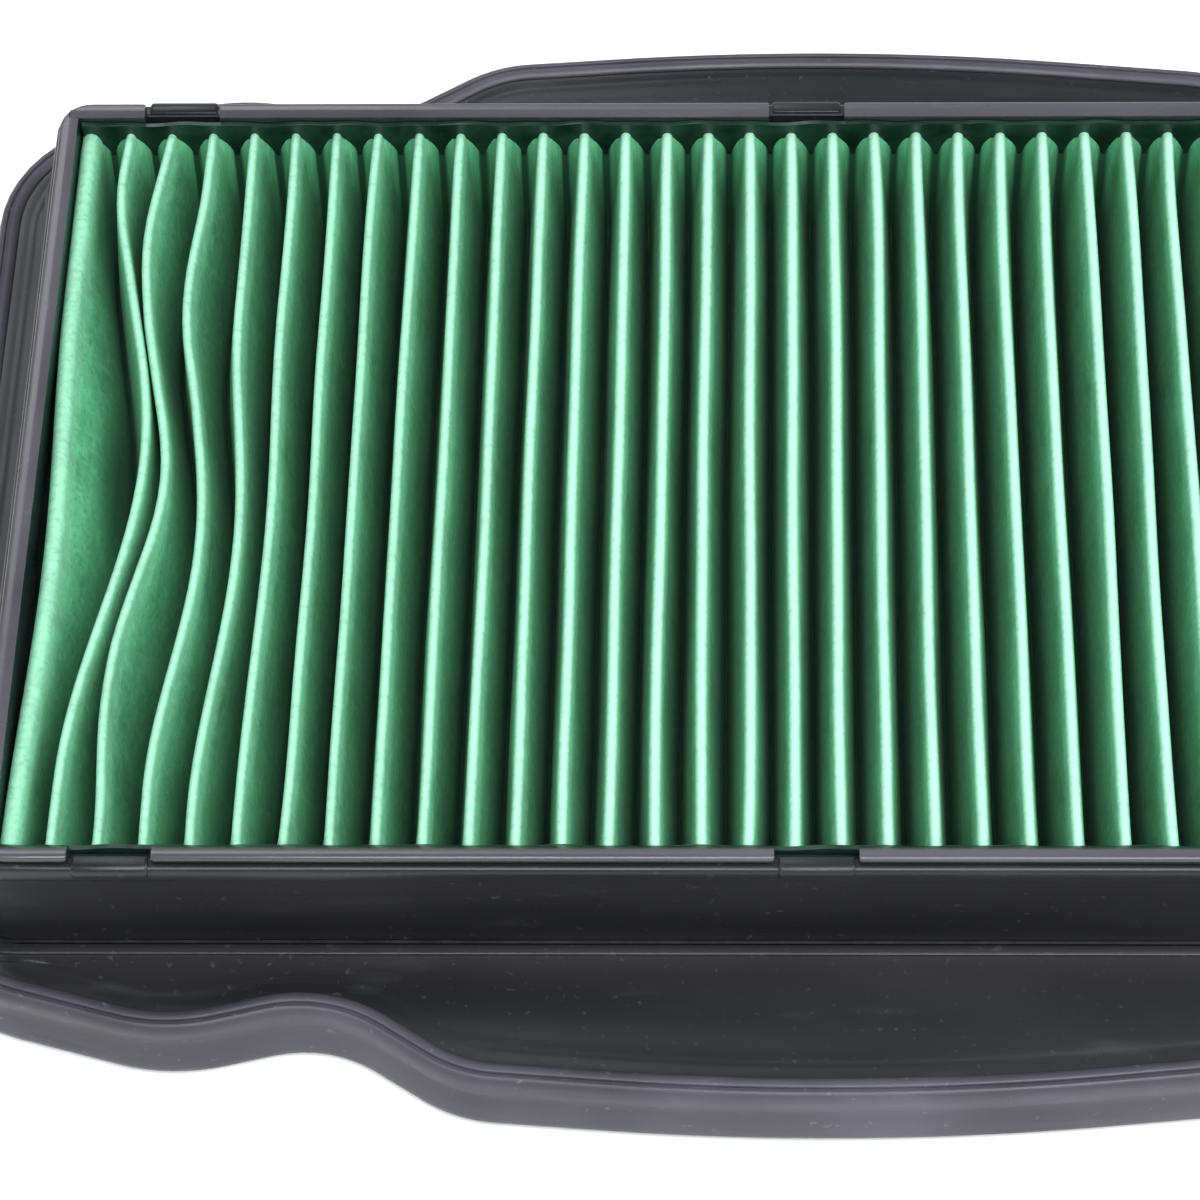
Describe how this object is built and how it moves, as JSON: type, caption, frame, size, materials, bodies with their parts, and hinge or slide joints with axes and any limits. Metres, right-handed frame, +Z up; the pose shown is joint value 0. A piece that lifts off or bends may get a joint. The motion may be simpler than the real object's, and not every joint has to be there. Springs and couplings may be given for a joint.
{
  "type": "air filter element",
  "caption": "Rectangular pleated panel air filter element: green oiled paper in a black tapered frame on a wavy flange with a rubber edge seal.",
  "frame": {"origin": "middle of the footprint, on the surface that the rubber seal rests on", "axes": "+X along the long side, +Y from the front edge to the rear edge, +Z up from the clean side to the dirty side"},
  "size_m": [0.2352, 0.1712, 0.0295],
  "materials": {
    "shell_plastic": "satin black moulded polypropylene",
    "rail_plastic": "satin dark grey moulded plastic",
    "grid_plastic": "satin black moulded plastic",
    "seal_rubber": "matte dark warm grey rubber",
    "filter_paper": "green oiled nonwoven paper",
    "adhesive": "dark cured adhesive"
  },
  "bodies": {
    "root": {"base_flange": "shell_plastic", "pleat_frame": "shell_plastic", "joint_sealant": "adhesive", "edge_seal": "seal_rubber", "front_rail": "rail_plastic", "rear_rail": "rail_plastic", "left_rail": "rail_plastic", "right_rail": "rail_plastic", "front_rail_clips": "rail_plastic", "rear_rail_clips": "rail_plastic", "pleated_media": "filter_paper", "front_end_comb": "adhesive", "rear_end_comb": "adhesive", "left_end_bead": "adhesive", "right_end_bead": "adhesive", "support_grid": "grid_plastic"}
  },
  "joints": []
}
